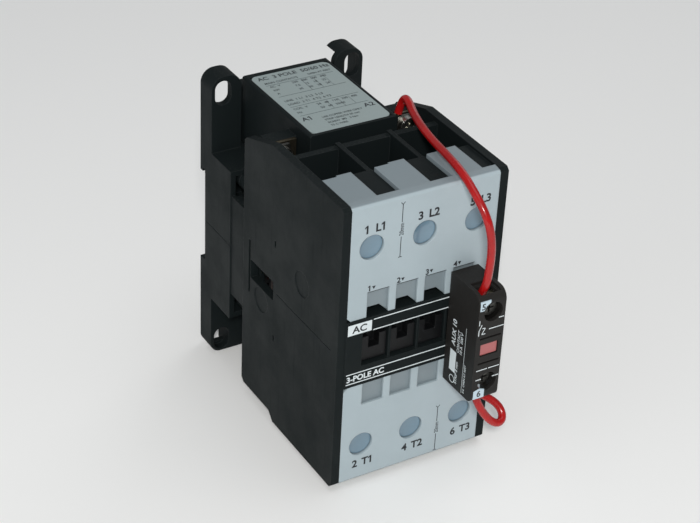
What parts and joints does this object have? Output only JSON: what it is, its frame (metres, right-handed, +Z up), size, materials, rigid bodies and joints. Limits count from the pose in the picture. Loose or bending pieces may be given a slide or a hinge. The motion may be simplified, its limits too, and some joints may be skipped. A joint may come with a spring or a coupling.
{
  "type": "din rail contactor",
  "caption": "Three-pole electromagnetic contactor for a 35 mm rail, black body with pale grey face plates, clip-on auxiliary contact block and two red wire leads.",
  "frame": {"origin": "on the wall plane, at the centre of the rail recess and of the four ear slots", "axes": "+X to the right across the poles as seen from the front, +Y into the wall, +Z up"},
  "size_m": [0.06, 0.1148, 0.1129],
  "materials": {
    "black_moulding": "fine moulded texture",
    "black_moulding_satin": "satin",
    "grey_plate": "satin, pale bluish grey",
    "grey_plug": "smooth",
    "label_grey": "printed film",
    "white_tag": "printed",
    "salmon_plastic": "smooth",
    "chute_fibre": "fibre board",
    "winding_tape": "yellow tape over copper wire",
    "rubber_pad": "soft",
    "laminated_steel": "stacked laminations",
    "plated_steel": "zinc plated",
    "spring_steel": "drawn wire",
    "tinned_brass": "tinned",
    "copper": "bare, silvered at the tips",
    "red_insulation": "smooth wire insulation"
  },
  "bodies": {
    "housing": {"base_housing": "black_moulding", "rail_latch_spring": "spring_steel", "fixed_core": "laminated_steel", "shading_rings": "copper", "core_pads": "rubber_pad", "coil_bobbin": "black_moulding_satin", "coil_winding": "winding_tape", "return_springs": "spring_steel", "coil_tower": "black_moulding", "rating_plate": "label_grey", "coil_terminal_a1": "tinned_brass", "coil_terminal_a2": "tinned_brass", "coil_terminal_screws": "plated_steel", "coil_clamp_washers": "plated_steel", "main_housing": "black_moulding", "upper_face_plate": "grey_plate", "lower_face_plate": "grey_plate", "screw_plugs": "grey_plug", "arc_chute_plates": "plated_steel", "chute_racks": "chute_fibre", "housing_screws": "plated_steel", "aux_body": "black_moulding", "number_tag_5": "white_tag", "number_tag_6": "white_tag", "aux_contact_5": "tinned_brass", "aux_contact_6": "tinned_brass", "aux_terminal_screws": "plated_steel", "lead_a2": "red_insulation", "lead_aux": "red_insulation", "lead_cores": "copper", "line_contact_1": "copper", "load_contact_1": "copper", "line_contact_2": "copper", "load_contact_2": "copper", "line_contact_3": "copper", "load_contact_3": "copper"},
    "carrier": {"contact_carrier": "black_moulding_satin", "armature": "laminated_steel", "armature_pin": "plated_steel", "contact_springs": "spring_steel", "moving_bridge_1": "copper", "moving_bridge_2": "copper", "moving_bridge_3": "copper"},
    "aux_slider": {"aux_plunger": "black_moulding_satin", "aux_indicator": "salmon_plastic", "aux_bridge": "tinned_brass", "aux_spring": "spring_steel"},
    "latch": {"rail_latch": "black_moulding_satin"},
    "line_clamp_body_1": {"line_clamp_1": "plated_steel"},
    "line_screw_body_1": {"line_screw_1": "plated_steel"},
    "load_clamp_body_1": {"load_clamp_1": "plated_steel"},
    "load_screw_body_1": {"load_screw_1": "plated_steel"},
    "line_clamp_body_2": {"line_clamp_2": "plated_steel"},
    "line_screw_body_2": {"line_screw_2": "plated_steel"},
    "load_clamp_body_2": {"load_clamp_2": "plated_steel"},
    "load_screw_body_2": {"load_screw_2": "plated_steel"},
    "line_clamp_body_3": {"line_clamp_3": "plated_steel"},
    "line_screw_body_3": {"line_screw_3": "plated_steel"},
    "load_clamp_body_3": {"load_clamp_3": "plated_steel"},
    "load_screw_body_3": {"load_screw_3": "plated_steel"}
  },
  "joints": [
    {"name": "carrier_slide", "type": "slide", "parent": "housing", "child": "carrier", "axis": [0, 1, 0], "range_m": [0, 0.005], "stiffness_N_per_m": 1600, "springref_m": -0.004, "deforming": ["return_springs"]},
    {"name": "aux_slide", "type": "slide", "parent": "housing", "child": "aux_slider", "axis": [0, 1, 0], "range_m": [0, 0.005]},
    {"name": "latch_slide", "type": "slide", "parent": "housing", "child": "latch", "axis": [0, 0, -1], "range_m": [0, 0.003], "stiffness_N_per_m": 3000, "springref_m": -0.0015, "deforming": ["rail_latch_spring"]},
    {"name": "line_screw_1_turn", "type": "hinge", "parent": "housing", "child": "line_screw_body_1", "pos_m": [-0.01925, -0.09, 0.0372], "axis": [0, 1, 0], "range_deg": [0, 3085.8]},
    {"name": "line_clamp_1_slide", "type": "slide", "parent": "housing", "child": "line_clamp_body_1", "axis": [0, -1, 0], "range_m": [0, 0.006]},
    {"name": "load_screw_1_turn", "type": "hinge", "parent": "housing", "child": "load_screw_body_1", "pos_m": [-0.01925, -0.09, -0.0388], "axis": [0, 1, 0], "range_deg": [0, 3085.8]},
    {"name": "load_clamp_1_slide", "type": "slide", "parent": "housing", "child": "load_clamp_body_1", "axis": [0, -1, 0], "range_m": [0, 0.006]},
    {"name": "line_screw_2_turn", "type": "hinge", "parent": "housing", "child": "line_screw_body_2", "pos_m": [0, -0.09, 0.0372], "axis": [0, 1, 0], "range_deg": [0, 3085.8]},
    {"name": "line_clamp_2_slide", "type": "slide", "parent": "housing", "child": "line_clamp_body_2", "axis": [0, -1, 0], "range_m": [0, 0.006]},
    {"name": "load_screw_2_turn", "type": "hinge", "parent": "housing", "child": "load_screw_body_2", "pos_m": [0, -0.09, -0.0388], "axis": [0, 1, 0], "range_deg": [0, 3085.8]},
    {"name": "load_clamp_2_slide", "type": "slide", "parent": "housing", "child": "load_clamp_body_2", "axis": [0, -1, 0], "range_m": [0, 0.006]},
    {"name": "line_screw_3_turn", "type": "hinge", "parent": "housing", "child": "line_screw_body_3", "pos_m": [0.01925, -0.09, 0.0372], "axis": [0, 1, 0], "range_deg": [0, 3085.8]},
    {"name": "line_clamp_3_slide", "type": "slide", "parent": "housing", "child": "line_clamp_body_3", "axis": [0, -1, 0], "range_m": [0, 0.006]},
    {"name": "load_screw_3_turn", "type": "hinge", "parent": "housing", "child": "load_screw_body_3", "pos_m": [0.01925, -0.09, -0.0388], "axis": [0, 1, 0], "range_deg": [0, 3085.8]},
    {"name": "load_clamp_3_slide", "type": "slide", "parent": "housing", "child": "load_clamp_body_3", "axis": [0, -1, 0], "range_m": [0, 0.006]}
  ],
  "couplings": [
    {"joint": "aux_slide", "follows": "carrier_slide", "ratio": 1},
    {"joint": "line_screw_1_turn", "follows": "line_clamp_1_slide", "rad_per_m": 8976},
    {"joint": "load_screw_1_turn", "follows": "load_clamp_1_slide", "rad_per_m": 8976},
    {"joint": "line_screw_2_turn", "follows": "line_clamp_2_slide", "rad_per_m": 8976},
    {"joint": "load_screw_2_turn", "follows": "load_clamp_2_slide", "rad_per_m": 8976},
    {"joint": "line_screw_3_turn", "follows": "line_clamp_3_slide", "rad_per_m": 8976},
    {"joint": "load_screw_3_turn", "follows": "load_clamp_3_slide", "rad_per_m": 8976}
  ]
}
